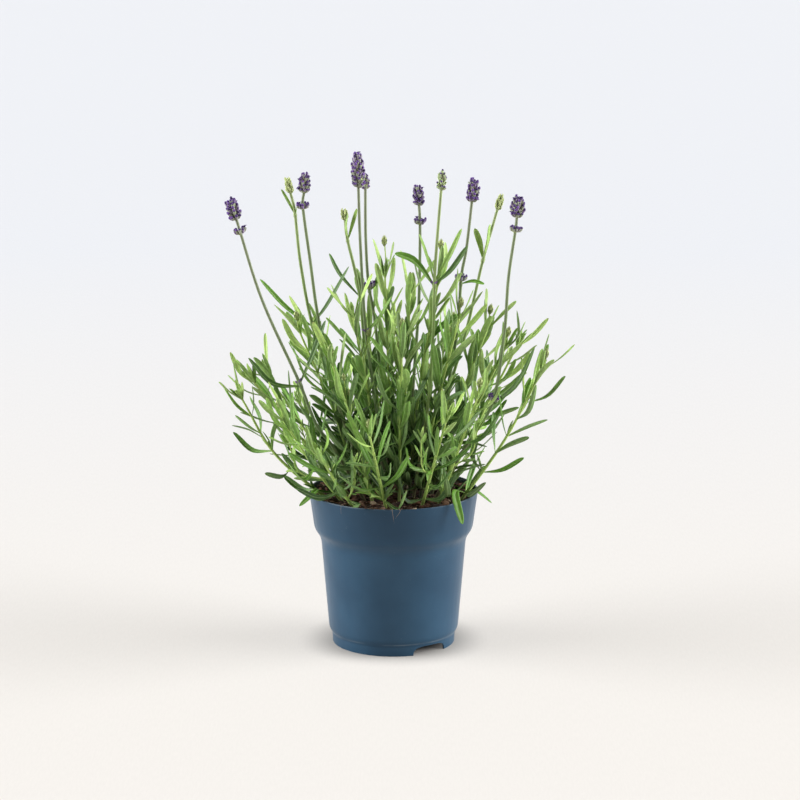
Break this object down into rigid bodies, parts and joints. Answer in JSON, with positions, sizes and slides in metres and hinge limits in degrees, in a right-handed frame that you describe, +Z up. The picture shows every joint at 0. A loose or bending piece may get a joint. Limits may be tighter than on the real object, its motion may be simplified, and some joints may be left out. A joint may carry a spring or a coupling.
{
  "type": "potted lavender",
  "caption": "Young bushy lavender plant with narrow opposite leaves and violet flower spikes on tall stalks, growing in a round tapered plastic nursery pot with a deep collar.",
  "frame": {"origin": "centre of the pot's foot, on the surface it stands on", "axes": "+Z up along the pot's axis, -Y towards the front, +X to the right seen from the front"},
  "size_m": [0.2477, 0.1986, 0.3528],
  "materials": {
    "pot_plastic": "satin dusty dark blue moulded plastic",
    "potting_soil": "damp dark brown peat with bark chips and fibres",
    "leaf_green": "soft matt fresh green, finely felted",
    "stalk_green": "matt grey green square stalk",
    "flower_violet": "velvety dark violet with grey green calyces",
    "bud_green": "matt pale yellow green buds"
  },
  "bodies": {
    "root": {"pot": "pot_plastic", "potting_soil": "potting_soil", "flower_stalk_01": "stalk_green", "flower_stalk_02": "stalk_green", "flower_stalk_03": "stalk_green", "flower_stalk_04": "stalk_green", "flower_stalk_05": "stalk_green", "flower_stalk_06": "stalk_green", "flower_stalk_07": "stalk_green", "flower_stalk_08": "stalk_green", "flower_stalk_09": "stalk_green", "flower_stalk_10": "stalk_green", "flower_stalk_11": "stalk_green", "leafy_shoot_01": "leaf_green", "leafy_shoot_02": "leaf_green", "leafy_shoot_03": "leaf_green", "leafy_shoot_04": "leaf_green", "leafy_shoot_05": "leaf_green", "leafy_shoot_06": "leaf_green", "leafy_shoot_07": "leaf_green", "leafy_shoot_08": "leaf_green", "leafy_shoot_09": "leaf_green", "leafy_shoot_10": "leaf_green", "leafy_shoot_11": "leaf_green", "leafy_shoot_12": "leaf_green", "leafy_shoot_13": "leaf_green", "leafy_shoot_14": "leaf_green", "leafy_shoot_15": "leaf_green", "leafy_shoot_16": "leaf_green", "leafy_shoot_17": "leaf_green", "leafy_shoot_18": "leaf_green", "leafy_shoot_19": "leaf_green", "leafy_shoot_20": "leaf_green", "leafy_shoot_21": "leaf_green", "leafy_shoot_22": "leaf_green", "leafy_shoot_23": "leaf_green", "leafy_shoot_24": "leaf_green", "leafy_shoot_25": "leaf_green", "leafy_shoot_26": "leaf_green", "leafy_shoot_27": "leaf_green", "leafy_shoot_28": "leaf_green", "flower_spike_01": "flower_violet", "flower_spike_02": "bud_green", "flower_spike_03": "flower_violet", "flower_spike_04": "bud_green", "flower_spike_05": "flower_violet", "flower_spike_06": "flower_violet", "flower_spike_07": "flower_violet", "flower_spike_08": "bud_green", "flower_spike_09": "flower_violet", "flower_spike_10": "bud_green", "flower_spike_11": "flower_violet", "flower_whorl_01": "flower_violet", "flower_whorl_02": "flower_violet", "flower_whorl_03": "flower_violet", "flower_whorl_04": "flower_violet", "flower_whorl_05": "flower_violet", "flower_whorl_06": "flower_violet", "flower_whorl_07": "flower_violet"}
  },
  "joints": []
}
